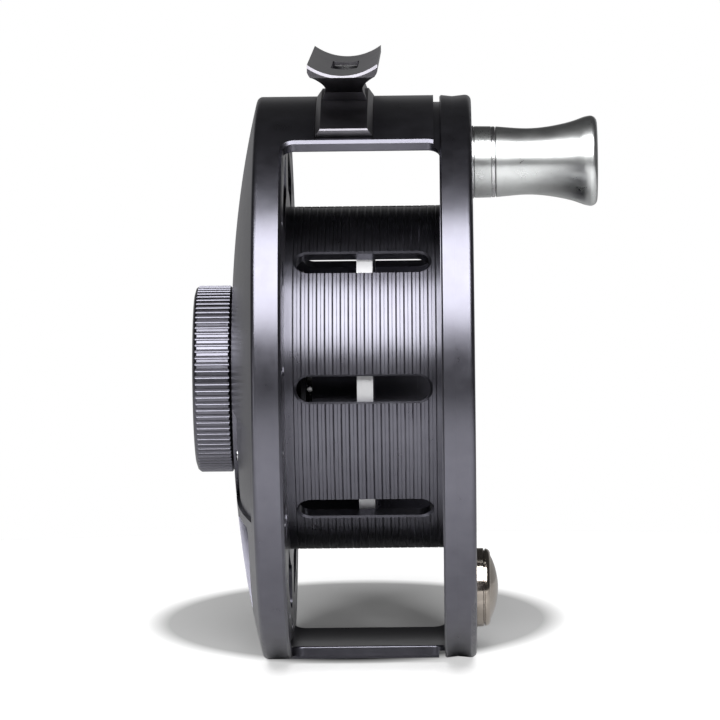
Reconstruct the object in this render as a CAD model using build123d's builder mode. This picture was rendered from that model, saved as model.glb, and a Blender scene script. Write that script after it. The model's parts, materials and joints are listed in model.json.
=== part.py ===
"""Fly reel, 108 mm across: one-piece open frame, large-arbor spool with a palming rim, sealed disc drag.

Millimetres, +Z up. X runs along the spindle with +X towards the winding handle. The origin is
the middle of the reel foot's saddle, so the spindle lies at z = -SPINDLE_DROP.
Angles about the spindle are measured from +Y towards +Z.
"""

from build123d import *
from math import asin, atan2, cos, degrees, hypot, radians, sin
import os

# ---------------------------------------------------------------- driving dimensions
SPINDLE_DROP = 59.9  # foot saddle to spindle axis
RIM_R = 54.0  # outside of the frame and of the palming rim
FRAME_BORE_R = 51.6
PLATE_OUT_X = -22.0  # flat centre of the back plate, outside
PLATE_IN_X = -19.0
PLATE_FLAT_R = 15.5
DOME_MIDDLE = (-20.15, 36.6)  # the dome of the back plate, as station and radius
DOME_EDGE_X = -16.7
WINDOW_LEFT_X = -11.4  # line windows, between the back ring and the front ring
WINDOW_RIGHT_X = 17.8
STEP_X = 16.7  # the frame is turned down beyond this station, under the rim's lip
FRONT_RING_X = 21.0
FRONT_RING_R = 52.7
TOP_PILLAR_HALF = 28.5  # degrees either side of the top
LOW_PILLAR_HALF = 11.5

FOOT_LENGTH = 61.0
FOOT_WIDTH = 13.0
FOOT_SADDLE_R = 11.0
FOOT_BASE_WIDTH = 8.8
FOOT_ROOT_WIDTH = 10.8
FOOT_BASE_HALF = 26.6  # degrees either side of the top
FOOT_POCKET_R = 53.0
FOOT_SCREW_Y = 7.0

SPINDLE_R = 3.0
SHOULDER_R = 4.0
PIN_CIRCLE_R = 9.3
PIN_R = 1.0
DETENT_R = 14.0

KNOB_R = 17.9
KNOB_OUT_X = -29.4
KNOB_IN_X = -22.1
KNOB_RIBS = 90

HOUSING_R = 20.5
HOUSING_BORE_R = 18.6
HOUSING_END_X = -7.9
HOUSING_SCREW_CIRCLE_R = 23.8

DRUM_R = 32.9
DRUM_WALL = 2.0
FLANGE_LEFT_X = -12.9
FLANGE_RIGHT_X = 18.2
RIM_FACE_X = 23.9
GROOVE_COUNT = 19
GROOVE_MIDDLE_X = 3.5
GROOVE_PITCH = 1.483
GROOVE = (0.16, 0.08)  # half width and depth
FINE_GROOVE = (0.09, 0.03)
SLOT_COUNT = 8
SLOT_LENGTH = 25.0
SLOT_WIDTH = 4.8
SLOT_X = 3.2
SLOT_FIRST_ANGLE = 176.75
HUB_R = 11.0
HUB_FACE_X = 13.2
TUBE_R = 5.0
HANDLE_OFFSET = 41.2  # handle above the spindle, counterweight below it
POST_R = 2.5

SCREW_HOLE_GAP = 0.02
RUNNING_GAP = 0.05


# ---------------------------------------------------------------- helpers
def across(x, up=0.0):
    """Plane facing +X at station x, centred on the axis that lies `up` above the spindle."""
    return Plane(origin=(x, 0, up - SPINDLE_DROP), x_dir=(0, 1, 0), z_dir=(1, 0, 0))


def axis_at(up=0.0):
    return Axis((0, 0, up - SPINDLE_DROP), (1, 0, 0))


def half_plane(up=0.0, angle=90.0):
    """Plane through that axis: its x is the station and its y the radius, at `angle`."""
    turn = radians(angle)
    return Plane(origin=(0, 0, up - SPINDLE_DROP), x_dir=(1, 0, 0), z_dir=(0, -sin(turn), cos(turn)))


def tangent_plane(x, radius, angle):
    """Plane facing outwards at a radius and an angle, with its x along the spindle."""
    out = (0, cos(radians(angle)), sin(radians(angle)))
    origin = (x, radius * out[1], radius * out[2] - SPINDLE_DROP)
    return Plane(origin=origin, x_dir=(1, 0, 0), z_dir=out)


def half_section(*corners, up=0.0):
    """Closed outline of (station, radius) corners."""
    with BuildSketch(half_plane(up)) as outline:
        with BuildLine():
            Polyline(*corners, close=True)
        make_face()
    return outline.sketch


def ring(x, r_inner, r_outer, up=0.0):
    with BuildSketch(across(x, up)) as outline:
        Circle(r_outer)
        if r_inner > 0:
            Circle(r_inner, mode=Mode.SUBTRACT)
    return outline.sketch


def sector(x, r_inner, r_outer, middle, half_angle, corner=0.0):
    """Kidney between two radii, either side of the angle `middle`."""
    with BuildSketch(across(x)) as outline:
        with BuildLine():
            inner = CenterArc((0, 0), r_inner, 90.0 - half_angle, 2 * half_angle)
            outer = CenterArc((0, 0), r_outer, 90.0 - half_angle, 2 * half_angle)
            Line(inner @ 0, outer @ 0)
            Line(inner @ 1, outer @ 1)
        make_face()
        if corner > 0:
            fillet(outline.vertices(), corner)
    return outline.sketch.rotate(axis_at(), middle - 90.0)


def holes(x, circle_r, hole_r, count, first_angle=0.0, up=0.0):
    """Round holes spaced evenly on a circle."""
    with BuildSketch(across(x, up)) as outline:
        with PolarLocations(circle_r, count, start_angle=first_angle):
            Circle(hole_r)
    return outline.sketch


def screw(x_head, x_tip, head_r, head_length, shank_r, socket_width, y=0.0, up=0.0):
    """Socket cap screw along X, with its head's underside at x_head and its tip at x_tip."""
    away = -1 if x_tip > x_head else 1
    with BuildPart() as body:
        with BuildSketch(across(x_head, up)):
            with Locations((y, 0)):
                Circle(head_r)
        extrude(amount=away * head_length)
        rim = body.edges().filter_by(GeomType.CIRCLE).sort_by(Axis.X)[-1 if away > 0 else 0]
        fillet(rim, head_length * 0.15)
        with BuildSketch(across(x_head + away * head_length, up)):
            with Locations((y, 0)):
                RegularPolygon(socket_width / 2, 6, major_radius=False)
        extrude(amount=-away * head_length * 0.55, mode=Mode.SUBTRACT)
        with BuildSketch(across(x_head, up)):
            with Locations((y, 0)):
                Circle(shank_r)
        extrude(amount=x_tip - x_head)
    return body.part


def level_band(x, low, high):
    """Rectangle between two heights, on the near side of the spindle."""
    with BuildSketch(across(x)) as outline:
        with Locations((-30.0, (low + high) / 2)):
            Rectangle(56.0, high - low)
    return outline.sketch


def radius_of(point):
    return hypot(point.Y, point.Z + SPINDLE_DROP)


def on_cylinder(edge, radius, x_low, x_high):
    """Whether an edge lies on a cylinder about the spindle, between two stations."""
    points = [edge @ t for t in (0.0, 0.25, 0.5, 0.75, 1.0)]
    near = all(abs(radius_of(p) - radius) < 0.01 for p in points)
    return near and all(x_low - 0.01 < p.X < x_high + 0.01 for p in points)


# ---------------------------------------------------------------- frame
PORT_R = (27.0, 47.0)
PORT_HALF = 19.0
PORT_ANGLES = (44.0, -1.0, -46.0, -91.0)
NEAR_PORT_ANGLE = -136.0
NEAR_PORT_TOP = -22.8  # the near port ends in a level edge, a thin rib below the recess
RECESS_R = (24.0, 51.0)
RECESS_UP = (-20.9, -2.8)
RECESS_DEPTH = 0.7
WINDOW_HALF = (360 - 2 * TOP_PILLAR_HALF - 2 * LOW_PILLAR_HALF) / 4
WINDOW_MIDDLES = (90 + TOP_PILLAR_HALF + WINDOW_HALF, 90 - TOP_PILLAR_HALF - WINDOW_HALF)
WINDOW_CORNER = 2.3
WINDOW_EDGE = 0.5
WINDOW_BORE_EDGE = 0.35
BORE_END_X = -14.4
PLATE_CUT_X = -23.0  # a station clear of the back plate, where cuts through it start
FRAME_WALL = RIM_R - FRAME_BORE_R


below_rib = level_band(PLATE_CUT_X, -50.0, NEAR_PORT_TOP)
near_port = sector(PLATE_CUT_X, *PORT_R, NEAR_PORT_ANGLE, PORT_HALF) & below_rib
near_port = fillet(near_port.vertices(), 1.2)

with BuildPart() as recess:
    # the dome's own curve, set in by the recess's depth
    with BuildSketch(half_plane()):
        with BuildLine():
            floor = ThreePointArc(
                (PLATE_OUT_X + RECESS_DEPTH, PLATE_FLAT_R),
                (DOME_MIDDLE[0] + RECESS_DEPTH, DOME_MIDDLE[1]),
                (DOME_EDGE_X + RECESS_DEPTH, RIM_R),
            )
            Polyline(floor @ 0, (PLATE_OUT_X - 2.0, PLATE_FLAT_R), (PLATE_OUT_X - 2.0, RIM_R), floor @ 1)
        make_face()
    revolve(axis=axis_at())
    extrude(level_band(-26.0, *RECESS_UP), amount=14.0, mode=Mode.INTERSECT)
    extrude(ring(-26.0, *RECESS_R), amount=14.0, mode=Mode.INTERSECT)

with BuildPart() as frame:
    with BuildSketch(half_plane()):
        with BuildLine():
            Line((PLATE_OUT_X, SHOULDER_R), (PLATE_OUT_X, PLATE_FLAT_R))
            ThreePointArc((PLATE_OUT_X, PLATE_FLAT_R), DOME_MIDDLE, (DOME_EDGE_X, RIM_R))
            Line((DOME_EDGE_X, RIM_R), (FRONT_RING_X, RIM_R))
            Line((FRONT_RING_X, RIM_R), (FRONT_RING_X, FRAME_BORE_R))
            Line((FRONT_RING_X, FRAME_BORE_R), (BORE_END_X, FRAME_BORE_R))
            ThreePointArc((BORE_END_X, FRAME_BORE_R), (-17.3, 40.0), (PLATE_IN_X, 27.5))
            Line((PLATE_IN_X, 27.5), (PLATE_IN_X, SHOULDER_R))
            Line((PLATE_IN_X, SHOULDER_R), (PLATE_OUT_X, SHOULDER_R))
        make_face()
    revolve(axis=axis_at())
    fillet([e for e in frame.edges() if on_cylinder(e, RIM_R, -17, -16)], 1.0)
    for middle in WINDOW_MIDDLES:
        window = sector(WINDOW_LEFT_X, 49.0, 56.0, middle, WINDOW_HALF)
        extrude(window, amount=WINDOW_RIGHT_X - WINDOW_LEFT_X, mode=Mode.SUBTRACT)
    corners = [e for e in frame.edges().filter_by(GeomType.LINE) if abs(e.length - FRAME_WALL) < 0.02]
    corners = [e for e in corners if WINDOW_LEFT_X - 0.1 < e.center().X < WINDOW_RIGHT_X + 0.1]
    fillet(corners, WINDOW_CORNER)
    chamfer([e for e in frame.edges() if on_cylinder(e, RIM_R, WINDOW_LEFT_X, WINDOW_RIGHT_X)], WINDOW_EDGE)
    bore_edges = [e for e in frame.edges() if on_cylinder(e, FRAME_BORE_R, WINDOW_LEFT_X, WINDOW_RIGHT_X)]
    fillet(bore_edges, WINDOW_BORE_EDGE)
    extrude(ring(STEP_X, FRONT_RING_R, 55.0), amount=6.0, mode=Mode.SUBTRACT)
    # kidney ports through the back plate, and the shallow recess beside its blank panel
    for angle in PORT_ANGLES:
        extrude(sector(PLATE_CUT_X, *PORT_R, angle, PORT_HALF, 3.0), amount=12.0, mode=Mode.SUBTRACT)
    extrude(near_port, amount=12.0, mode=Mode.SUBTRACT)
    add(recess.part, mode=Mode.SUBTRACT)
    # seat of the reel foot, with its two tapped holes
    seat_half_width = FOOT_ROOT_WIDTH / 2 + 0.1
    seat = sector(-seat_half_width, FOOT_POCKET_R, 56.0, 90.0, FOOT_BASE_HALF + 0.7)
    extrude(seat, amount=2 * seat_half_width, mode=Mode.SUBTRACT)
    with BuildSketch(Plane.XY.offset(-4.0)):
        with Locations((0, FOOT_SCREW_Y), (0, -FOOT_SCREW_Y)):
            Circle(1.25 + SCREW_HOLE_GAP)
    extrude(amount=-6.0, mode=Mode.SUBTRACT)
    # holes for the thrust pins, the drag housing's screws and the detent ball
    extrude(holes(PLATE_CUT_X, PIN_CIRCLE_R, PIN_R + RUNNING_GAP, 3, 90.0), amount=5.0, mode=Mode.SUBTRACT)
    housing_holes = holes(-21.2, HOUSING_SCREW_CIRCLE_R, 1.2 + SCREW_HOLE_GAP, 6, 30.0)
    extrude(housing_holes, amount=3.0, mode=Mode.SUBTRACT)
    extrude(holes(-22.5, DETENT_R, 1.1, 1), amount=2.9, mode=Mode.SUBTRACT)

# ---------------------------------------------------------------- reel foot
WAIST = 3.5  # half width of the neck under the saddle
HALF_WIDTH = FOOT_WIDTH / 2
HALF_LENGTH = FOOT_LENGTH / 2
HALF_BASE = FOOT_BASE_WIDTH / 2
HALF_ROOT = FOOT_ROOT_WIDTH / 2
BASE_TOP_R = 55.5
TIP_LOW_Z = 0.7
SADDLE_EDGE = (0.3, 0.5)  # broken edge of the saddle's ends: along the foot, and out from the saddle
TOE_EDGE = 0.25
FOOT_SCREW_R = 1.25
FOOT_POCKET_FLOOR = -2.6

with BuildPart() as foot_base:
    # a band with sloping sides, wrapped round the frame
    with BuildSketch(half_plane(angle=90.0 - FOOT_BASE_HALF)):
        with BuildLine():
            Polyline((0, FOOT_POCKET_R), (HALF_ROOT, FOOT_POCKET_R), (HALF_ROOT, RIM_R + 0.1))
            Polyline((HALF_ROOT, RIM_R + 0.1), (HALF_BASE, BASE_TOP_R), (0, BASE_TOP_R))
            mirror(about=Plane.YZ)
        make_face()
    revolve(axis=axis_at(), revolution_arc=2 * FOOT_BASE_HALF)
    toes = [e for e in foot_base.edges().filter_by(Axis.X) if abs(radius_of(e.center()) - BASE_TOP_R) < 0.01]
    chamfer(toes, TOE_EDGE)

with BuildPart() as reel_foot:
    # end view: a saddle on flared cheeks, a waist, and a wider stem
    with BuildSketch(Plane.XZ.offset(-HALF_LENGTH)):
        with BuildLine():
            saddle = CenterArc((0, FOOT_SADDLE_R), FOOT_SADDLE_R, 270, degrees(asin(HALF_WIDTH / FOOT_SADDLE_R)))
            Line(saddle @ 1, (HALF_WIDTH, TIP_LOW_Z))
            Spline(
                (HALF_WIDTH, TIP_LOW_Z), (5.5, -0.75), (WAIST, -3.3), (HALF_BASE, -6.4),
                tangents=((-0.35, -1), (0.15, -1)),
            )
            Polyline((HALF_BASE, -6.4), (HALF_BASE, -7.5), (0, -7.5))
            mirror(about=Plane.YZ)
        make_face()
    extrude(amount=FOOT_LENGTH)
    # side view: thin tips and a short stem
    with BuildSketch(Plane.YZ.offset(-HALF_WIDTH)):
        with BuildLine():
            Polyline((0, 4.0), (HALF_LENGTH, 4.0), (HALF_LENGTH, -0.3))
            ThreePointArc((HALF_LENGTH, -0.3), (20.0, -1.9), (13.0, -4.2))
            Polyline((13.0, -4.2), (11.5, -7.5), (0, -7.5))
            mirror(about=Plane.YZ)
        make_face()
    extrude(amount=FOOT_WIDTH, mode=Mode.INTERSECT)
    with BuildSketch(Plane.YZ.offset(-HALF_WIDTH)):
        with Locations((0, -SPINDLE_DROP)):
            Circle(BASE_TOP_R - 0.5)
    extrude(amount=FOOT_WIDTH, mode=Mode.SUBTRACT)
    # broken edges where the saddle meets the two ends
    for end in (HALF_LENGTH, -HALF_LENGTH):
        facing = Plane(origin=(0, end, 0), x_dir=(1, 0, 0), z_dir=(0, end, 0))
        with BuildSketch(facing):
            with Locations((0, FOOT_SADDLE_R if end < 0 else -FOOT_SADDLE_R)):
                Circle(FOOT_SADDLE_R + SADDLE_EDGE[1])
        slope = degrees(atan2(SADDLE_EDGE[1], SADDLE_EDGE[0]))
        extrude(amount=-SADDLE_EDGE[0], taper=slope, mode=Mode.SUBTRACT)
    add(foot_base.part)
    # pocket in the saddle that takes the two screw heads
    with BuildSketch(Plane.XY.offset(FOOT_POCKET_FLOOR)):
        RectangleRounded(5.1, 22.0, 0.6)
    extrude(amount=6.0, mode=Mode.SUBTRACT)
    with BuildSketch(Plane.XY):
        with Locations((0, FOOT_SCREW_Y), (0, -FOOT_SCREW_Y)):
            Circle(FOOT_SCREW_R + SCREW_HOLE_GAP)
    extrude(amount=-12.0, mode=Mode.SUBTRACT)

with BuildPart() as foot_screws:
    for y in (FOOT_SCREW_Y, -FOOT_SCREW_Y):
        with BuildSketch(Plane.XY.offset(FOOT_POCKET_FLOOR)):
            with Locations((0, y)):
                Circle(2.2)
        extrude(amount=2.2)
        with BuildSketch(Plane.XY.offset(FOOT_POCKET_FLOOR + 2.2)):
            with Locations((0, y)):
                RegularPolygon(1.0, 6, major_radius=False)
        extrude(amount=-1.2, mode=Mode.SUBTRACT)
        with BuildSketch(Plane.XY.offset(FOOT_POCKET_FLOOR)):
            with Locations((0, y)):
                Circle(FOOT_SCREW_R)
        extrude(amount=-5.9)

# ---------------------------------------------------------------- spindle and its fasteners
SPINDLE_LEFT_X = -27.7
SPINDLE_TIP_X = 16.2
LATCH_GROOVE = (14.05, 15.35)
LATCH_GROOVE_R = 2.2

with BuildPart() as spindle:
    revolve(
        half_section(
            (SPINDLE_LEFT_X, 0), (SPINDLE_LEFT_X, POST_R), (-24.4, POST_R), (-24.4, SHOULDER_R),
            (PLATE_IN_X, SHOULDER_R), (PLATE_IN_X, 6.5), (-17.8, 6.5), (-17.3, 6.0), (-17.3, SPINDLE_R),
            (LATCH_GROOVE[0], SPINDLE_R), (LATCH_GROOVE[0], LATCH_GROOVE_R),
            (LATCH_GROOVE[1], LATCH_GROOVE_R), (LATCH_GROOVE[1], SPINDLE_R),
            (SPINDLE_TIP_X - 0.5, SPINDLE_R), (SPINDLE_TIP_X, SPINDLE_R - 0.7), (SPINDLE_TIP_X, 0),
        ),
        axis=axis_at(),
    )
    extrude(ring(SPINDLE_LEFT_X, 0, 1.5), amount=5.0, mode=Mode.SUBTRACT)

with BuildPart() as spindle_nut:
    with BuildSketch(across(PLATE_OUT_X)):
        RegularPolygon(5.5, 6, major_radius=False)
        Circle(SHOULDER_R, mode=Mode.SUBTRACT)
    extrude(amount=-2.2)

with BuildPart() as knob_washer:
    extrude(ring(SPINDLE_LEFT_X, 1.55, 4.4), amount=-0.5)

with BuildPart() as knob_screw:
    add(screw(SPINDLE_LEFT_X - 0.5, -23.2, 3.0, 1.0, 1.48, 2.5))

# ---------------------------------------------------------------- drag knob
KNOB_WEB_X = -24.7
THREAD_R = 11.0
DISH_X = -28.5

with BuildPart() as drag_knob:
    revolve(
        half_section(
            (KNOB_WEB_X, POST_R + RUNNING_GAP), (KNOB_WEB_X, THREAD_R + RUNNING_GAP),
            (KNOB_IN_X, THREAD_R + RUNNING_GAP),
            (KNOB_IN_X, DETENT_R - 1.1), (KNOB_IN_X - 1.15, DETENT_R - 1.1),
            (KNOB_IN_X - 1.15, DETENT_R + 1.1), (KNOB_IN_X, DETENT_R + 1.1),
            (KNOB_IN_X, KNOB_R - 0.7), (KNOB_IN_X - 0.5, KNOB_R), (KNOB_OUT_X + 0.9, KNOB_R),
            (KNOB_OUT_X + 0.3, KNOB_R - 0.5), (KNOB_OUT_X, KNOB_R - 1.5), (KNOB_OUT_X, KNOB_R - 2.7),
            (DISH_X, KNOB_R - 3.6), (DISH_X, 5.8), (-27.6, 5.2), (-27.6, POST_R + RUNNING_GAP),
        ),
        axis=axis_at(),
    )
    extrude(holes(KNOB_OUT_X, KNOB_R + 0.12, 0.42, KNOB_RIBS), amount=8.0, mode=Mode.SUBTRACT)
    extrude(holes(KNOB_IN_X - 1.15, DETENT_R, 0.9, 36), amount=-0.25, mode=Mode.SUBTRACT)

with BuildPart() as detent_ball:
    with Locations((PLATE_OUT_X, DETENT_R, -SPINDLE_DROP)):
        Sphere(1.0)

with BuildPart() as detent_spring:
    with BuildLine():
        coil = Helix(0.4, 1.0, 0.7, center=(-20.8, DETENT_R, -SPINDLE_DROP), direction=(1, 0, 0))
    with BuildSketch(Plane(origin=coil @ 0, z_dir=coil % 0)):
        Circle(0.12)
    sweep()

# ---------------------------------------------------------------- drag thrust parts
THRUST_LEFT_X = -24.5
THRUST_RIGHT_X = -22.7
PUSHER_X = (-18.4, -17.8)
PLATE_STACK_X = -16.4

with BuildPart() as thrust_ring:
    revolve(
        half_section(
            (THRUST_LEFT_X, 7.4), (THRUST_LEFT_X, THREAD_R - 0.3), (THRUST_LEFT_X + 0.3, THREAD_R),
            (THRUST_RIGHT_X - 0.3, THREAD_R), (THRUST_RIGHT_X, THREAD_R - 0.3), (THRUST_RIGHT_X, 7.4),
        ),
        axis=axis_at(),
    )

with BuildPart() as thrust_pins:
    extrude(holes(THRUST_RIGHT_X, PIN_CIRCLE_R, PIN_R, 3, 90.0), amount=PUSHER_X[0] - THRUST_RIGHT_X)

with BuildPart() as pusher_washer:
    extrude(ring(PUSHER_X[0], 7.2, 11.4), amount=PUSHER_X[1] - PUSHER_X[0])

with BuildPart() as drag_spring:
    revolve(
        half_section(
            (PUSHER_X[1], 10.7), (PUSHER_X[1] + 0.5, 11.0), (PLATE_STACK_X, 7.9), (PLATE_STACK_X - 0.5, 7.6)
        ),
        axis=axis_at(),
    )

# ---------------------------------------------------------------- drag housing and discs
DRAG_BORE = SPINDLE_R + 0.1
WASHER_X = (-14.4, -10.9)
WASHER_THICK = 1.0
ROTOR_X = (-13.35, -10.95)

with BuildPart() as pressure_plate:
    revolve(
        half_section(
            (PLATE_STACK_X, 5.6), (PLATE_STACK_X, 17.7), (PLATE_STACK_X + 0.3, 18.0),
            (WASHER_X[0], 18.0), (WASHER_X[0], 5.6),
        ),
        axis=axis_at(),
    )

with BuildPart() as drag_washers:
    for x in WASHER_X:
        extrude(ring(x, 9.0, 17.8), amount=WASHER_THICK)

with BuildPart() as drag_rotor:
    revolve(
        half_section(
            (ROTOR_X[0], DRAG_BORE), (ROTOR_X[0], 17.6), (ROTOR_X[0] + 0.3, 17.9),
            (ROTOR_X[1] - 0.3, 17.9), (ROTOR_X[1], 17.6), (ROTOR_X[1], TUBE_R + 0.6),
            (ROTOR_X[1] + 0.6, TUBE_R), (6.3, TUBE_R), (6.6, TUBE_R - 0.3), (6.6, DRAG_BORE),
        ),
        axis=axis_at(),
    )

with BuildPart() as drag_housing:
    revolve(
        half_section(
            (PLATE_IN_X, HOUSING_BORE_R), (PLATE_IN_X, 21.0), (-17.9, 21.0), (-17.9, 22.2),
            (PLATE_IN_X, 22.2), (PLATE_IN_X, 26.3), (-18.8, 26.5), (-17.4, 26.5), (-17.2, 26.3),
            (-17.2, HOUSING_R + 0.5), (-16.7, HOUSING_R), (HOUSING_END_X - 0.8, HOUSING_R),
            (HOUSING_END_X, HOUSING_R - 0.8), (HOUSING_END_X, 7.2), (-9.9, 7.2), (-9.9, HOUSING_BORE_R),
        ),
        axis=axis_at(),
    )
    screw_holes = holes(PLATE_IN_X, HOUSING_SCREW_CIRCLE_R, 1.2 + SCREW_HOLE_GAP, 6, 30.0)
    extrude(screw_holes, amount=3.0, mode=Mode.SUBTRACT)

with BuildPart() as housing_screws:
    for index in range(6):
        turn = radians(30.0 + 60.0 * index)
        y, up = HOUSING_SCREW_CIRCLE_R * cos(turn), HOUSING_SCREW_CIRCLE_R * sin(turn)
        add(screw(-17.2, -20.9, 2.1, 2.0, 1.2, 2.0, y, up))

with BuildPart() as housing_oring:
    with BuildSketch(half_plane()):
        with Locations((-18.45, 21.6)):
            Circle(0.5)
    revolve(axis=axis_at())

with BuildPart() as rotor_seal:
    revolve(
        half_section(
            (-9.7, TUBE_R + RUNNING_GAP), (-9.7, 7.2), (-8.1, 7.2), (-8.1, 6.4), (-9.0, 6.0),
            (-9.0, TUBE_R + RUNNING_GAP),
        ),
        axis=axis_at(),
    )

# ---------------------------------------------------------------- spool
DRUM_BORE_R = DRUM_R - DRUM_WALL
WEB_X = (2.0, 5.0)
BEARING_R = 6.5
CLUTCH_R = 7.5
RIM_LIP_R = 53.0
SPOOL_FLANGE_R = 50.5
BOSS_R = 6.6
RIM_WEB_X = 20.2
WEB_PORT_R = (13.6, 27.4)
FLANGE_PORT_R = (36.0, 44.4)
CAP_SCREW_ANGLES = (20.0, 160.0, 200.0, 340.0)
CAP_SCREW_CIRCLE_R = 8.6
CAP_SCREW_R = 0.95
CAP_SCREW_HOLE_R = CAP_SCREW_R + SCREW_HOLE_GAP
HUB_END_X = -6.9
SPOKE_ANGLES = [22.5 + 45.0 * k for k in range(8)]


def groove_corners():
    """Corners of the line-gripping grooves turned in the drum: deep ones, each followed by a fine one."""
    corners = []
    for k in range(2 * GROOVE_COUNT - 1):
        x = GROOVE_MIDDLE_X + (k - (GROOVE_COUNT - 1)) * GROOVE_PITCH / 2
        half_width, depth = FINE_GROOVE if k % 2 else GROOVE
        corners += [(x - half_width, DRUM_R), (x, DRUM_R - depth), (x + half_width, DRUM_R)]
    return corners


# The spool is one turning, divided here where its hub, web, drum and two flanges meet.
with BuildPart() as spool_hub:
    revolve(
        half_section(
            (HUB_END_X, CLUTCH_R), (HUB_END_X, HUB_R), (HUB_FACE_X, HUB_R),
            (HUB_FACE_X, BEARING_R), (7.4, BEARING_R), (7.4, 6.0), (6.8, 6.0), (6.8, CLUTCH_R),
        ),
        axis=axis_at(),
    )
    for angle in CAP_SCREW_ANGLES:
        extrude(holes(9.0, CAP_SCREW_CIRCLE_R, CAP_SCREW_HOLE_R, 1, angle), amount=5.0, mode=Mode.SUBTRACT)

with BuildPart() as spool_web:
    extrude(ring(WEB_X[0], HUB_R, DRUM_BORE_R), amount=WEB_X[1] - WEB_X[0])
    for angle in SPOKE_ANGLES:
        extrude(sector(1.0, *WEB_PORT_R, angle, 16.0, 2.0), amount=5.0, mode=Mode.SUBTRACT)

with BuildPart() as spool_drum:
    revolve(
        half_section(
            (FLANGE_LEFT_X, DRUM_BORE_R), (FLANGE_LEFT_X, DRUM_R), *groove_corners(),
            (RIM_WEB_X, DRUM_R), (RIM_WEB_X, DRUM_BORE_R + 0.4), (RIM_WEB_X - 0.4, DRUM_BORE_R),
        ),
        axis=axis_at(),
    )
    # slots with broken edges
    for k in range(SLOT_COUNT):
        angle = SLOT_FIRST_ANGLE - k * 360 / SLOT_COUNT
        with BuildSketch(tangent_plane(SLOT_X, 30.5, angle)):
            SlotOverall(SLOT_LENGTH, SLOT_WIDTH)
        extrude(amount=4.0, mode=Mode.SUBTRACT)
        with BuildSketch(tangent_plane(SLOT_X, DRUM_R - 0.45, angle)):
            SlotOverall(SLOT_LENGTH, SLOT_WIDTH)
        extrude(amount=0.9, taper=-45, mode=Mode.SUBTRACT)

with BuildPart() as spool_back_flange:
    revolve(
        half_section(
            (FLANGE_LEFT_X, DRUM_R), (FLANGE_LEFT_X, SPOOL_FLANGE_R - 0.4),
            (FLANGE_LEFT_X + 0.4, SPOOL_FLANGE_R), (WINDOW_LEFT_X - 0.4, SPOOL_FLANGE_R),
            (WINDOW_LEFT_X, SPOOL_FLANGE_R - 0.4), (WINDOW_LEFT_X, DRUM_R),
        ),
        axis=axis_at(),
    )
    for angle in SPOKE_ANGLES:
        extrude(sector(-13.5, *FLANGE_PORT_R, angle, 15.0, 2.0), amount=3.0, mode=Mode.SUBTRACT)
    extrude(holes(-13.5, 47.4, 1.4, 20, 9.0), amount=3.0, mode=Mode.SUBTRACT)

with BuildPart() as palming_rim:
    revolve(
        half_section(
            (FLANGE_RIGHT_X, DRUM_R), (FLANGE_RIGHT_X, 50.3), (FLANGE_RIGHT_X + 0.3, 50.6), (21.5, 50.6),
            (21.5, RIM_LIP_R), (17.9, RIM_LIP_R), (17.9, RIM_R - 0.3), (18.2, RIM_R),
            (20.3, RIM_R - 0.25), (22.6, RIM_R), (RIM_FACE_X, RIM_R),
            (RIM_FACE_X, 46.6), (RIM_FACE_X - 0.6, 46.0), (RIM_WEB_X, 46.0), (RIM_WEB_X, DRUM_R),
        ),
        axis=axis_at(),
    )
    fillet([e for e in palming_rim.edges() if on_cylinder(e, RIM_R, RIM_FACE_X, RIM_FACE_X)], 1.1)
    for up in (HANDLE_OFFSET, -HANDLE_OFFSET):
        extrude(ring(RIM_WEB_X - 0.2, 0, BOSS_R, up), amount=RIM_FACE_X - RIM_WEB_X + 0.2)
    for angle in SPOKE_ANGLES:
        extrude(sector(17.5, *FLANGE_PORT_R, angle, 13.0, 2.0), amount=4.0, mode=Mode.SUBTRACT)
    # tapped holes of the handle post and of the counterweight's screw
    extrude(ring(FLANGE_RIGHT_X - 1, 0, POST_R + SCREW_HOLE_GAP, HANDLE_OFFSET), amount=8, mode=Mode.SUBTRACT)
    extrude(ring(FLANGE_RIGHT_X - 1, 0, 2.0 + SCREW_HOLE_GAP, -HANDLE_OFFSET), amount=8, mode=Mode.SUBTRACT)
    extrude(ring(FLANGE_RIGHT_X - 1, 0, 3.7, -HANDLE_OFFSET), amount=3.3, mode=Mode.SUBTRACT)

# ---------------------------------------------------------------- bearings and clutch
REAR_BEARING_X = (-6.4, -2.4)
FRONT_BEARING_X = (7.9, 12.9)
RACE_WALL = 0.75


def race(x_left, x_right, r_inner, r_outer, ball_pitch_r, ball_r):
    """Bearing race with its ball track turned in."""
    with BuildPart() as body:
        extrude(ring(x_left, r_inner, r_outer), amount=x_right - x_left)
        with BuildSketch(half_plane()):
            with Locations(((x_left + x_right) / 2, ball_pitch_r)):
                Circle(ball_r + RUNNING_GAP)
        revolve(axis=axis_at(), mode=Mode.SUBTRACT)
    return body.part


def balls(x, pitch_r, ball_r, count):
    with BuildPart() as body:
        with BuildSketch(half_plane()):
            with Locations((x, pitch_r)):
                Circle(ball_r)
                Rectangle(3 * ball_r, 2 * ball_r, align=(Align.MAX, Align.CENTER), mode=Mode.SUBTRACT)
        seam = Axis((x, 0, pitch_r - SPINDLE_DROP), (0, 0, 1))
        revolve(axis=seam)
    ball = body.part
    with BuildPart() as row:
        for k in range(count):
            add(ball.rotate(axis_at(), k * 360 / count))
    return row.part


with BuildPart() as rear_bearing_races:
    add(race(*REAR_BEARING_X, TUBE_R, TUBE_R + RACE_WALL, 6.25, 0.8))
    add(race(*REAR_BEARING_X, CLUTCH_R - RACE_WALL, CLUTCH_R, 6.25, 0.8))

with BuildPart() as rear_bearing_balls:
    add(balls(sum(REAR_BEARING_X) / 2, 6.25, 0.8, 14))

with BuildPart() as front_bearing_inner_race:
    add(race(*FRONT_BEARING_X, SPINDLE_R, 4.2, 4.75, 0.95))

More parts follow.
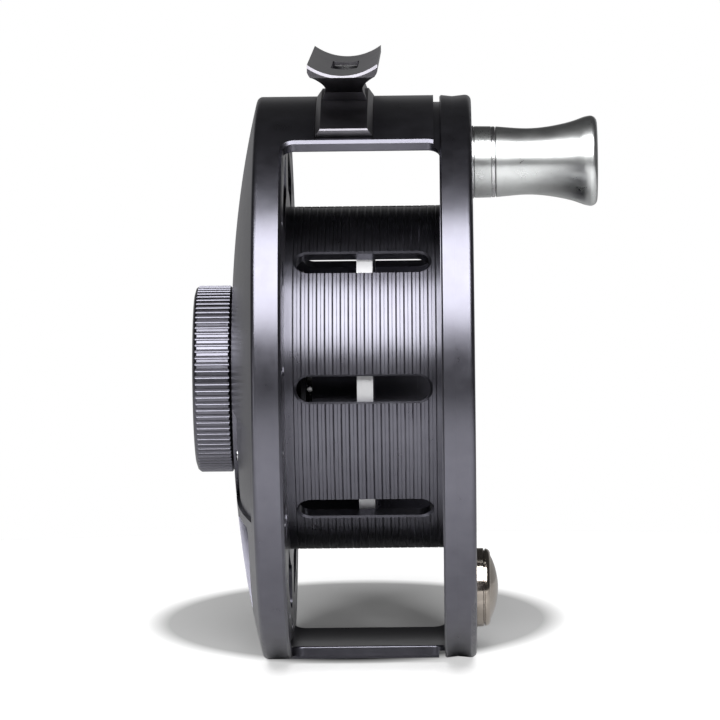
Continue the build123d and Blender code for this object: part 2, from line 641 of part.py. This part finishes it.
with BuildPart() as front_bearing_outer_race:
    add(race(*FRONT_BEARING_X, 5.3, BEARING_R, 4.75, 0.95))

with BuildPart() as front_bearing_balls:
    add(balls(sum(FRONT_BEARING_X) / 2, 4.75, 0.95, 10))

with BuildPart() as one_way_clutch:
    extrude(ring(-2.0, 6.6, CLUTCH_R), amount=8.6)

with BuildPart() as clutch_rollers:
    extrude(holes(-1.4, 5.8, 0.75, 10), amount=7.4)

# ---------------------------------------------------------------- spool cap and its release latch
CAP_FACE_X = 17.4
CAP_SEAT_X = 16.2  # under the heads of the cap's screws
CHANNEL_X = (14.1, 15.3)
CHANNEL_HALF = 3.5
CHANNEL_LOW = -9.0
LATCH_LOW = -5.8
LATCH_HOLE_R = 3.15
LATCH_TRAVEL = 0.8
TAB_LOW = 12.1
TAB_HIGH = 14.3

with BuildPart() as spool_cap:
    revolve(
        half_section(
            (HUB_FACE_X, SPINDLE_R + 0.1), (HUB_FACE_X, HUB_R), (CAP_FACE_X - 1.2, HUB_R),
            (CAP_FACE_X - 0.3, HUB_R - 0.5), (CAP_FACE_X, HUB_R - 1.4), (CAP_FACE_X, 5.4),
            (CAP_FACE_X - 0.4, 5.0), (CAP_FACE_X - 0.4, 0), (16.4, 0), (16.4, SPINDLE_R + 0.1),
        ),
        axis=axis_at(),
    )
    with BuildSketch(across(CHANNEL_X[0])):
        with Locations((0, CHANNEL_LOW)):
            Rectangle(2 * CHANNEL_HALF, 24.0, align=(Align.CENTER, Align.MIN))
    extrude(amount=CHANNEL_X[1] - CHANNEL_X[0], mode=Mode.SUBTRACT)
    for angle in CAP_SCREW_ANGLES:
        extrude(holes(13.0, CAP_SCREW_CIRCLE_R, CAP_SCREW_HOLE_R, 1, angle), amount=5.0, mode=Mode.SUBTRACT)
        extrude(holes(CAP_SEAT_X, CAP_SCREW_CIRCLE_R, 1.75, 1, angle), amount=2.0, mode=Mode.SUBTRACT)

with BuildPart() as cap_screws:
    for angle in CAP_SCREW_ANGLES:
        y, up = CAP_SCREW_CIRCLE_R * cos(radians(angle)), CAP_SCREW_CIRCLE_R * sin(radians(angle))
        add(screw(CAP_SEAT_X, 9.6, 1.65, 0.9, CAP_SCREW_R, 1.3, y, up))

with BuildPart() as release_latch:
    with BuildSketch(across(CHANNEL_X[0] + RUNNING_GAP)):
        with Locations((0, LATCH_LOW)):
            Rectangle(2 * CHANNEL_HALF - 0.1, TAB_HIGH - LATCH_LOW, align=(Align.CENTER, Align.MIN))
        with Locations((0, LATCH_TRAVEL)):
            Circle(LATCH_HOLE_R, mode=Mode.SUBTRACT)
    extrude(amount=CHANNEL_X[1] - CHANNEL_X[0] - 2 * RUNNING_GAP)
    with BuildSketch(across(CHANNEL_X[0] + RUNNING_GAP)):
        with Locations((0, TAB_LOW)):
            RectangleRounded(9.0, TAB_HIGH - TAB_LOW, 0.6, align=(Align.CENTER, Align.MIN))
    extrude(amount=5.2)
    fillet(release_latch.edges().filter_by(Axis.Y).group_by(Axis.X)[-1], 0.6)

with BuildPart() as latch_spring:
    spring_foot = (sum(CHANNEL_X) / 2, 0, CHANNEL_LOW - SPINDLE_DROP + 0.12)
    with BuildLine():
        latch_coil = Helix(0.7, 2.9, 0.42, center=spring_foot)
    with BuildSketch(Plane(origin=latch_coil @ 0, z_dir=latch_coil % 0)):
        Circle(0.11)
    sweep()

# ---------------------------------------------------------------- handle
COLLAR_X = (24.3, 27.7)
THRUST_WASHER_X = (27.7, 28.4)
HANDLE_X = (28.48, 47.85)
HANDLE_END_WALL = (45.1, 46.3)
BUSH_R = 4.0
POST_LENGTH = 28.15

with BuildPart() as handle_base_washer:
    extrude(ring(RIM_FACE_X, POST_R + SCREW_HOLE_GAP, 6.95, HANDLE_OFFSET), amount=COLLAR_X[0] - RIM_FACE_X)

with BuildPart() as handle_collar:
    revolve(
        half_section(
            (COLLAR_X[0], POST_R + SCREW_HOLE_GAP), (COLLAR_X[0], 6.65), (COLLAR_X[0] + 0.2, 6.85),
            (COLLAR_X[1] - 0.12, 6.8), (COLLAR_X[1], 6.68), (COLLAR_X[1], POST_R + SCREW_HOLE_GAP),
            up=HANDLE_OFFSET,
        ),
        axis=axis_at(HANDLE_OFFSET),
    )

with BuildPart() as handle_thrust_washer:
    revolve(
        half_section(
            (THRUST_WASHER_X[0], POST_R + SCREW_HOLE_GAP), (THRUST_WASHER_X[0], 6.66),
            (THRUST_WASHER_X[0] + 0.1, 6.76), (THRUST_WASHER_X[1] - 0.1, 6.76), (THRUST_WASHER_X[1], 6.66),
            (THRUST_WASHER_X[1], POST_R + SCREW_HOLE_GAP),
            up=HANDLE_OFFSET,
        ),
        axis=axis_at(HANDLE_OFFSET),
    )

with BuildPart() as handle_post:
    extrude(ring(FLANGE_RIGHT_X + 0.2, 0, POST_R, HANDLE_OFFSET), amount=POST_LENGTH)
    chamfer(handle_post.edges().filter_by(GeomType.CIRCLE), 0.3)
    extrude(ring(36.0, 0, 1.5, HANDLE_OFFSET), amount=12.0, mode=Mode.SUBTRACT)

with BuildPart() as handle_screw:
    add(screw(FLANGE_RIGHT_X + 0.2 + POST_LENGTH, 37.0, 4.0, 1.1, 1.48, 2.5, up=HANDLE_OFFSET))

with BuildPart() as handle_knob:
    with BuildSketch(half_plane(HANDLE_OFFSET)):
        with BuildLine():
            Polyline(
                (HANDLE_X[1], 4.9), (HANDLE_X[1] - 0.3, 4.6), (HANDLE_END_WALL[1], 4.6),
                (HANDLE_END_WALL[1], POST_R + RUNNING_GAP),
                (HANDLE_END_WALL[0], POST_R + RUNNING_GAP), (HANDLE_END_WALL[0], BUSH_R),
                (HANDLE_X[0], BUSH_R), (HANDLE_X[0], 6.6), (HANDLE_X[0] + 0.15, 6.75),
            )
            Spline(
                (HANDLE_X[0] + 0.15, 6.75), (34.4, 6.33), (40.4, 6.95), (44.1, 7.92), (46.5, 8.62),
                tangents=((1, -0.08), (1, 0.12)),
            )
            ThreePointArc((46.5, 8.62), (47.55, 8.2), (HANDLE_X[1], 7.1))
            Line((HANDLE_X[1], 7.1), (HANDLE_X[1], 4.9))
        make_face()
    revolve(axis=axis_at(HANDLE_OFFSET))

with BuildPart() as handle_bushes:
    for x in (28.6, 41.0):
        extrude(ring(x, POST_R + RUNNING_GAP, BUSH_R, HANDLE_OFFSET), amount=4.0)

# ---------------------------------------------------------------- counterweight
CROWN_TOP_X = 28.2
CROWN_EDGE = (26.7, 6.3)
crown_rise = CROWN_TOP_X - CROWN_EDGE[0]
crown_r = (CROWN_EDGE[1] ** 2 + crown_rise**2) / (2 * crown_rise)
crown_half = degrees(asin(CROWN_EDGE[1] / crown_r))

with BuildPart() as counterweight:
    with BuildSketch(half_plane(-HANDLE_OFFSET)):
        with BuildLine():
            Polyline(
                (27.0, 0), (27.0, 2.0 + SCREW_HOLE_GAP), (RIM_FACE_X, 2.0 + SCREW_HOLE_GAP), (RIM_FACE_X, 7.4),
                (24.1, 7.6), (25.3, 7.6), (25.45, 7.4), (25.45, 7.2), (25.65, 7.2), (25.65, 7.4), (25.75, 7.5),
            )
            ThreePointArc((25.75, 7.5), (26.5, 7.1), CROWN_EDGE)
            CenterArc((CROWN_TOP_X - crown_r, 0), crown_r, 0, crown_half)
            Line((CROWN_TOP_X, 0), (27.0, 0))
        make_face()
    revolve(axis=axis_at(-HANDLE_OFFSET))

with BuildPart() as counterweight_screw:
    add(screw(20.4, 26.8, 3.5, 2.1, 2.0, 3.0, up=-HANDLE_OFFSET))

# ---------------------------------------------------------------- one STEP file for each piece
pieces = {
    "frame": frame,
    "reel_foot": reel_foot,
    "foot_screws": foot_screws,
    "spindle": spindle,
    "spindle_nut": spindle_nut,
    "knob_washer": knob_washer,
    "knob_screw": knob_screw,
    "drag_knob": drag_knob,
    "detent_ball": detent_ball,
    "detent_spring": detent_spring,
    "thrust_ring": thrust_ring,
    "thrust_pins": thrust_pins,
    "pusher_washer": pusher_washer,
    "drag_spring": drag_spring,
    "pressure_plate": pressure_plate,
    "drag_washers": drag_washers,
    "drag_rotor": drag_rotor,
    "drag_housing": drag_housing,
    "housing_screws": housing_screws,
    "housing_oring": housing_oring,
    "rotor_seal": rotor_seal,
    "spool_hub": spool_hub,
    "spool_web": spool_web,
    "spool_drum": spool_drum,
    "spool_back_flange": spool_back_flange,
    "palming_rim": palming_rim,
    "rear_bearing_races": rear_bearing_races,
    "rear_bearing_balls": rear_bearing_balls,
    "front_bearing_inner_race": front_bearing_inner_race,
    "front_bearing_outer_race": front_bearing_outer_race,
    "front_bearing_balls": front_bearing_balls,
    "one_way_clutch": one_way_clutch,
    "clutch_rollers": clutch_rollers,
    "spool_cap": spool_cap,
    "cap_screws": cap_screws,
    "release_latch": release_latch,
    "latch_spring": latch_spring,
    "handle_base_washer": handle_base_washer,
    "handle_collar": handle_collar,
    "handle_thrust_washer": handle_thrust_washer,
    "handle_post": handle_post,
    "handle_screw": handle_screw,
    "handle_knob": handle_knob,
    "handle_bushes": handle_bushes,
    "counterweight": counterweight,
    "counterweight_screw": counterweight_screw,
}

os.makedirs("parts", exist_ok=True)
for name, piece in pieces.items():
    piece.part.label = name
    export_step(piece.part, f"parts/{name}.step")
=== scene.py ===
"""Looks of the fly reel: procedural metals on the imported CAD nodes, a pale studio and the camera."""

import json
import math

import bpy
from mathutils import Matrix, Vector


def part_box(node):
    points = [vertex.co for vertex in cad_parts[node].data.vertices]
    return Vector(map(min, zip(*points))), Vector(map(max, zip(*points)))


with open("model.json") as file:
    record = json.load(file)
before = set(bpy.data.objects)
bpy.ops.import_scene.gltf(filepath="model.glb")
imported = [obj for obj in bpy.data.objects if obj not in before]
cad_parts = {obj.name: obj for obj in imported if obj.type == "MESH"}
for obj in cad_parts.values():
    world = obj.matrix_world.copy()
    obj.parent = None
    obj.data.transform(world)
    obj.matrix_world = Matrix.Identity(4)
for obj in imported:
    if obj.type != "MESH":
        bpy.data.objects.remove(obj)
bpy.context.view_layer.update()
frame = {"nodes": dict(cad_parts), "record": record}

# ---------------------------------------------------------------- places, in metres
frame_low, frame_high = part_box("frame")
AXIS_Z = (frame_low.z + frame_high.z) / 2
FLOOR_Z = frame_low.z
handle_low, handle_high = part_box("handle_knob")
HANDLE_Z = (handle_low.z + handle_high.z) / 2
weight_low, weight_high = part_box("counterweight")
WEIGHT_Z = (weight_low.z + weight_high.z) / 2
web_low, web_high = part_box("spool_web")
WEB_R = (web_high.z - web_low.z) / 2

# ---------------------------------------------------------------- surface detail
# noise scales, in cells to a metre
CLOUD_SCALE = 260.0
PATCH_SCALE = 900.0
GRAIN_SCALE = 2600.0
BLAST_SCALE = 9000.0
TOOL_MARKS = 5200.0
HANDLE_MARKS = 6500.0
ANGLE_WEIGHT = 0.001  # metres of noise to a radian, small so that tool marks run round
NOISE_SPAN = (0.3, 0.7)  # where most of a noise's values lie

# depths, in metres
MARK_DEPTH = 0.00002
MOTTLE_DEPTH = 0.00005

# paler sharp edges: partly real wear and partly a painted edge highlight
EDGE_REACH = 0.00018
EDGE_SAMPLES = 6
EDGE_TURN = (0.97, 0.75)  # how far the rounded normal departs where wear starts, and where it is full
WEAR_AND_HIGHLIGHT_SPAN = (0.4, 0.65)
WEAR_AND_HIGHLIGHT_SHARE = (0.15, 0.6)
WEAR_AND_HIGHLIGHT_GREY = 0.4  # a pale edge, wear and painted edge highlight together, is halfway from the metal's colour to this grey

CLOUD_SHARE = 0.6
GRAIN_SHARE = 0.4

# the web's bare rim, as distances inside its radius
BARE_START = 0.0004
BARE_END = 0.0002
WEB_ROUGHNESS = (0.32, 0.5)


class Graph:
    """A material's node tree, with short ways to add nodes to it."""

    def __init__(self, name):
        self.material = bpy.data.materials.new(name)
        self.material.use_nodes = True
        self.tree = self.material.node_tree
        self.shader = self.tree.nodes["Principled BSDF"]

    def node(self, kind, **settings):
        made = self.tree.nodes.new(kind)
        for key, value in settings.items():
            setattr(made, key, value)
        return made

    def link(self, start, end):
        self.tree.links.new(start, end)

    def math(self, operation, first, second=None):
        made = self.node("ShaderNodeMath", operation=operation)
        for index, value in enumerate((first, second)):
            if value is None:
                continue
            if isinstance(value, (int, float)):
                made.inputs[index].default_value = value
            else:
                self.link(value, made.inputs[index])
        return made.outputs[0]

    def noise(self, vector, scale, detail=2.0, roughness=0.5):
        made = self.node("ShaderNodeTexNoise")
        made.inputs["Scale"].default_value = scale
        made.inputs["Detail"].default_value = detail
        made.inputs["Roughness"].default_value = roughness
        self.link(vector, made.inputs["Vector"])
        return made.outputs["Fac"]

    def map_range(self, value, low, high, out_low, out_high):
        made = self.node("ShaderNodeMapRange")
        self.link(value, made.inputs["Value"])
        made.inputs["From Min"].default_value = low
        made.inputs["From Max"].default_value = high
        made.inputs["To Min"].default_value = out_low
        made.inputs["To Max"].default_value = out_high
        return made.outputs["Result"]

    def mix_color(self, factor, first, second):
        made = self.node("ShaderNodeMix", data_type="RGBA")
        self.link(factor, made.inputs["Factor"])
        made.inputs["A"].default_value = (*first, 1.0)
        made.inputs["B"].default_value = (*second, 1.0)
        return made.outputs["Result"]

    def cover(self, factor, below, color):
        """The colour socket `below`, covered by a plain colour as far as factor says."""
        made = self.node("ShaderNodeMix", data_type="RGBA")
        self.link(factor, made.inputs["Factor"])
        self.link(below, made.inputs["A"])
        made.inputs["B"].default_value = (*color, 1.0)
        return made.outputs["Result"]

    def position(self):
        return self.node("ShaderNodeTexCoord").outputs["Object"]

    def sum_of_squares(self, first, second):
        return self.math("ADD", self.math("MULTIPLY", first, first), self.math("MULTIPLY", second, second))

    def turned_vector(self, axis_z):
        """(station, radius, angle) about an axis along X, so that noise on it runs round like tool marks."""
        parts = self.node("ShaderNodeSeparateXYZ")
        self.link(self.position(), parts.inputs[0])
        up = self.math("SUBTRACT", parts.outputs["Z"], axis_z)
        towards_back = self.math("MULTIPLY", parts.outputs["Y"], -1.0)
        angle = self.math("ARCTAN2", up, towards_back)
        joined = self.node("ShaderNodeCombineXYZ")
        self.link(parts.outputs["X"], joined.inputs["X"])
        self.link(self.math("SQRT", self.sum_of_squares(parts.outputs["Y"], up)), joined.inputs["Y"])
        self.link(self.math("MULTIPLY", angle, ANGLE_WEIGHT), joined.inputs["Z"])
        return joined.outputs[0]

    def radius_mask(self, axis_z, start, end):
        """0 inside the radius `start` about an axis along X, 1 outside `end`."""
        parts = self.node("ShaderNodeSeparateXYZ")
        self.link(self.turned_vector(axis_z), parts.inputs[0])
        return self.map_range(parts.outputs["Y"], start, end, 0.0, 1.0)

    def bump(self, height, strength, distance):
        made = self.node("ShaderNodeBump")
        made.inputs["Strength"].default_value = strength
        made.inputs["Distance"].default_value = distance
        self.link(height, made.inputs["Height"])
        self.link(made.outputs["Normal"], self.shader.inputs["Normal"])

    def edge_mask(self):
        """1 on sharp edges, 0 elsewhere: where a normal rounded over EDGE_REACH departs from the true."""
        rounded = self.node("ShaderNodeBevel", samples=EDGE_SAMPLES)
        rounded.inputs["Radius"].default_value = EDGE_REACH
        aligned = self.node("ShaderNodeVectorMath", operation="DOT_PRODUCT")
        self.link(rounded.outputs["Normal"], aligned.inputs[0])
        self.link(self.node("ShaderNodeNewGeometry").outputs["Normal"], aligned.inputs[1])
        return self.map_range(aligned.outputs["Value"], *EDGE_TURN, 0.0, 1.0)

    def metal(self, color, dark, roughness):
        """Metal whose colour and roughness drift a little, paler on its sharp edges: wear together with a
        painted edge highlight.
        """
        self.shader.inputs["Metallic"].default_value = 1.0
        cloud = self.noise(self.position(), CLOUD_SCALE, 3.0)
        body = self.mix_color(self.map_range(cloud, *NOISE_SPAN, 0.0, 1.0), dark, color)
        # painted edge highlight and wear: sharp edges, in patches, get a paler colour than the metal
        wear_and_highlight_patches = self.map_range(self.noise(self.position(), PATCH_SCALE, 3.0), *WEAR_AND_HIGHLIGHT_SPAN, *WEAR_AND_HIGHLIGHT_SHARE)
        wear_and_highlight_color = [0.5 * (channel + WEAR_AND_HIGHLIGHT_GREY) for channel in color]
        covered = self.cover(self.math("MULTIPLY", self.edge_mask(), wear_and_highlight_patches), body, wear_and_highlight_color)
        self.link(covered, self.shader.inputs["Base Color"])
        grain = self.noise(self.position(), GRAIN_SCALE)
        cloud_part = self.math("MULTIPLY", cloud, CLOUD_SHARE)
        grain_part = self.math("MULTIPLY", grain, GRAIN_SHARE)
        mixed = self.math("ADD", cloud_part, grain_part)
        self.link(self.map_range(mixed, *NOISE_SPAN, *roughness), self.shader.inputs["Roughness"])


def turned_metal(name, color, dark, roughness, axis_z, marks, strength):
    """Metal with tool marks that run round an axis along X; marks is how many noise cells fit in a metre."""
    g = Graph(name)
    g.metal(color, dark, roughness)
    g.bump(g.noise(g.turned_vector(axis_z), marks, 2.0, 0.6), strength, MARK_DEPTH)
    return g.material


def milled_web(name, color, dark, bright):
    """The web's anodised metal, bare aluminium on its rim, where the drum's slots were milled."""
    g = Graph(name)
    g.shader.inputs["Metallic"].default_value = 1.0
    rim = g.radius_mask(AXIS_Z, WEB_R - BARE_START, WEB_R - BARE_END)
    body = g.mix_color(g.noise(g.position(), CLOUD_SCALE, 3.0), dark, color)
    g.link(g.cover(rim, body, bright), g.shader.inputs["Base Color"])
    g.link(g.map_range(rim, 0.0, 1.0, *WEB_ROUGHNESS), g.shader.inputs["Roughness"])
    return g.material


def grained_metal(name, color, dark, roughness, strength):
    """Metal with a fine blasted grain."""
    g = Graph(name)
    g.metal(color, dark, roughness)
    g.bump(g.noise(g.position(), BLAST_SCALE), strength, MARK_DEPTH)
    return g.material


def dull(name, color, dark, roughness):
    """Rubber or plastic with a soft mottle."""
    g = Graph(name)
    cloud = g.noise(g.position(), PATCH_SCALE, 3.0)
    g.link(g.mix_color(cloud, dark, color), g.shader.inputs["Base Color"])
    g.link(g.map_range(cloud, *NOISE_SPAN, *roughness), g.shader.inputs["Roughness"])
    g.bump(cloud, 0.2, MOTTLE_DEPTH)
    return g.material


# ---------------------------------------------------------------- materials: light and dark colour
GUNMETAL = ((0.116, 0.115, 0.136), (0.102, 0.100, 0.119))
FOOT = ((0.13, 0.126, 0.14), (0.112, 0.108, 0.12))
BLACK = ((0.03, 0.03, 0.034), (0.022, 0.022, 0.025))
BRIGHT = ((0.54, 0.55, 0.55), (0.47, 0.48, 0.48))
NICKEL = ((0.47, 0.42, 0.37), (0.40, 0.355, 0.31))
STEEL = ((0.58, 0.58, 0.59), (0.48, 0.48, 0.49))
CARBON = ((0.035, 0.035, 0.036), (0.018, 0.018, 0.019))
RUBBER = ((0.022, 0.022, 0.022), (0.012, 0.012, 0.012))
ACETAL = ((0.05, 0.05, 0.052), (0.035, 0.035, 0.036))
BARE_ALUMINIUM = (0.5, 0.5, 0.51)

MATERIALS = {
    "gunmetal_anodised": turned_metal("gunmetal", *GUNMETAL, (0.27, 0.33), AXIS_Z, TOOL_MARKS, 0.12),
    "foot_anodised": grained_metal("foot_gunmetal", *FOOT, (0.32, 0.4), 0.02),
    "black_anodised": turned_metal("black_anodised", *BLACK, (0.35, 0.45), AXIS_Z, TOOL_MARKS, 0.2),
    "bright_aluminium": turned_metal(
        "bright_aluminium", *BRIGHT, (0.26, 0.34), HANDLE_Z, HANDLE_MARKS, 0.05
    ),
    "polished_nickel": turned_metal("polished_nickel", *NICKEL, (0.1, 0.16), WEIGHT_Z, TOOL_MARKS, 0.05),
    "stainless_steel": grained_metal("stainless_steel", *STEEL, (0.18, 0.3), 0.1),
    "carbon_composite": dull("carbon_composite", *CARBON, (0.45, 0.6)),
    "black_rubber": dull("black_rubber", *RUBBER, (0.6, 0.75)),
    "acetal": dull("acetal", *ACETAL, (0.35, 0.45)),
}
WEB_METAL = milled_web("spool_web", *GUNMETAL, BARE_ALUMINIUM)
slot_of = {s["node"]: s["material_slot"] for s in frame["record"]["subparts"]}
for name, node in frame["nodes"].items():
    node.data.materials.clear()
    node.data.materials.append(WEB_METAL if name == "spool_web" else MATERIALS[slot_of[name]])

# ---------------------------------------------------------------- studio
# lights: direction in degrees, distance and size in metres, power in watts
KEY = ((0.0, 49.0), 0.75, (1.1, 0.62), 20.0)
LEFT_STRIP = ((-62.0, 2.0), 1.0, (0.3, 0.35), 0.5)

# world, as Y and Z of the direction looked in
BACKDROP_GLOW = 0.3
BACKDROP_SPAN = (0.1, 0.7)
BACKDROP_TOP = (0.12, 0.4)
STUDIO_DIM = 0.05

# floor: a disc whose glow is painted light, and the oval that doesn't glow, which draws the outline of the
# reel's shadow, with the two ends of its soft edge as shares of its size
FLOOR_R = 0.42
FLOOR_CORNERS = 96
FLOOR_BACK_Y = 0.15
FLOOR_GAP = 0.0001
FLOOR_GREY = 0.52
FLOOR_GLOW = 0.6
SHADOW_Y = 0.0385
SHADOW_HALF = (0.0395, 0.0455)
SHADOW_EDGE = (0.95, 1.08)
FRONT_GLOW_Y = (-0.12, -0.05)

# camera: angles in degrees, lens in millimetres
CAMERA_AZIMUTH = 1.0
CAMERA_ELEVATION = 7.0
CAMERA_ROLL = 0.75
CAMERA_AIM = Vector((0.0021, 0.0, AXIS_Z + 0.0033))
CAMERA_DISTANCE = 0.945
CAMERA_LENS = 245.8


def towards(azimuth, elevation):
    """Unit vector, with azimuth from -Y towards +X; both angles are in degrees."""
    turn = math.radians(azimuth)
    rise = math.radians(elevation)
    return Vector((math.sin(turn) * math.cos(rise), -math.cos(turn) * math.cos(rise), math.sin(rise)))


def area_light(name, direction, distance, size, power):
    """Softbox that faces the middle of the reel from `direction`, an azimuth and an elevation."""
    back = towards(*direction)
    data = bpy.data.lights.new(name, "AREA")
    data.shape = "RECTANGLE"
    data.size, data.size_y = size
    data.energy = power
    lamp = bpy.data.objects.new(name, data)
    lamp.location = Vector((0.0, 0.0, AXIS_Z)) + back * distance
    lamp.rotation_euler = back.to_track_quat("Z", "Y").to_euler()
    bpy.context.scene.collection.objects.link(lamp)


def floor_material():
    """Pale floor with painted light: it glows, though it is no lamp, everywhere except in an oval under the
    reel and its shadow, so the oval's soft edge is a painted shadow outline.
    Beside and behind the reel only the camera sees the glow."""
    g = Graph("pale_floor")
    g.shader.inputs["Base Color"].default_value = (FLOOR_GREY, FLOOR_GREY, FLOOR_GREY, 1.0)
    g.shader.inputs["Roughness"].default_value = 0.12
    g.shader.inputs["Specular IOR Level"].default_value = 0.2
    parts = g.node("ShaderNodeSeparateXYZ")
    g.link(g.position(), parts.inputs[0])
    across = g.math("DIVIDE", parts.outputs["X"], SHADOW_HALF[0])
    behind = g.math("DIVIDE", g.math("SUBTRACT", parts.outputs["Y"], SHADOW_Y), SHADOW_HALF[1])
    reach = g.math("SQRT", g.sum_of_squares(across, behind))
    # painted light: glow outside the shadow oval, and in front of the reel also for its reflections
    outside = g.map_range(reach, *SHADOW_EDGE, 0.0, FLOOR_GLOW)
    in_front = g.map_range(parts.outputs["Y"], *FRONT_GLOW_Y, 1.0, 0.0)
    seen = g.math("MAXIMUM", in_front, g.node("ShaderNodeLightPath").outputs["Is Camera Ray"])
    g.shader.inputs["Emission Color"].default_value = (1.0, 1.0, 1.0, 1.0)
    g.link(g.math("MULTIPLY", outside, seen), g.shader.inputs["Emission Strength"])
    return g.material


def make_floor():
    """Disc on the frame's lowest line, with its back edge at FLOOR_BACK_Y."""
    turns = [math.tau * index / FLOOR_CORNERS for index in range(FLOOR_CORNERS)]
    mesh = bpy.data.meshes.new("floor")
    rim = [(FLOOR_R * math.cos(t), FLOOR_BACK_Y + FLOOR_R * (math.sin(t) - 1), 0) for t in turns]
    mesh.from_pydata(rim, [], [range(len(rim))])
    mesh.materials.append(floor_material())
    floor = bpy.data.objects.new("floor", mesh)
    floor.location = (0, 0, FLOOR_Z - FLOOR_GAP)
    bpy.context.scene.collection.objects.link(floor)


def make_world():
    """White to look at; in reflections a dark studio with a low pale backdrop behind the reel."""
    world = bpy.data.worlds.new("studio")
    world.use_nodes = True
    tree = world.node_tree
    tree.nodes.clear()

    def add(kind, **settings):
        made = tree.nodes.new(kind)
        for key, value in settings.items():
            setattr(made, key, value)
        return made

    def fade(value, start, end, low, high):
        made = add("ShaderNodeMapRange", interpolation_type="SMOOTHSTEP")
        tree.links.new(value, made.inputs["Value"])
        made.inputs["From Min"].default_value = start
        made.inputs["From Max"].default_value = end
        made.inputs["To Min"].default_value = low
        made.inputs["To Max"].default_value = high
        return made.outputs["Result"]

    parts = add("ShaderNodeSeparateXYZ")
    tree.links.new(add("ShaderNodeTexCoord").outputs["Generated"], parts.inputs[0])
    behind = fade(parts.outputs["Y"], *BACKDROP_SPAN, 0.0, 1.0)
    low_down = fade(parts.outputs["Z"], *BACKDROP_TOP, BACKDROP_GLOW, 0.0)
    glow = add("ShaderNodeMath", operation="MULTIPLY_ADD")
    tree.links.new(behind, glow.inputs[0])
    tree.links.new(low_down, glow.inputs[1])
    glow.inputs[2].default_value = STUDIO_DIM
    seen = add("ShaderNodeMix", data_type="FLOAT")
    tree.links.new(add("ShaderNodeLightPath").outputs["Is Camera Ray"], seen.inputs["Factor"])
    tree.links.new(glow.outputs[0], seen.inputs["A"])
    seen.inputs["B"].default_value = 1.0
    background = add("ShaderNodeBackground")
    background.inputs["Color"].default_value = (1, 1, 1, 1)
    tree.links.new(seen.outputs["Result"], background.inputs["Strength"])
    tree.links.new(background.outputs[0], add("ShaderNodeOutputWorld").inputs["Surface"])
    bpy.context.scene.world = world


def make_camera():
    """Long lens a little above the spindle and a little towards the handle, slightly rolled."""
    back = towards(CAMERA_AZIMUTH, CAMERA_ELEVATION)
    azimuth = math.radians(CAMERA_AZIMUTH)
    roll = math.radians(CAMERA_ROLL)
    right = Vector((math.cos(azimuth), math.sin(azimuth), 0.0))
    up = back.cross(right)
    rolled_up = up * math.cos(roll) + right * math.sin(roll)
    rolled_right = right * math.cos(roll) - up * math.sin(roll)
    data = bpy.data.cameras.new("camera")
    data.lens = CAMERA_LENS
    data.sensor_width = 36.0
    data.clip_start = 0.01
    data.clip_end = 20.0
    camera = bpy.data.objects.new("camera", data)
    axes = Matrix((rolled_right, rolled_up, back)).transposed()
    camera.matrix_world = Matrix.Translation(CAMERA_AIM + back * CAMERA_DISTANCE) @ axes.to_4x4()
    bpy.context.scene.collection.objects.link(camera)
    bpy.context.scene.camera = camera


area_light("key_softbox", *KEY)
area_light("left_strip", *LEFT_STRIP)
make_floor()
make_world()
make_camera()
bpy.context.scene.view_settings.view_transform = "Standard"

bpy.context.view_layer.update()
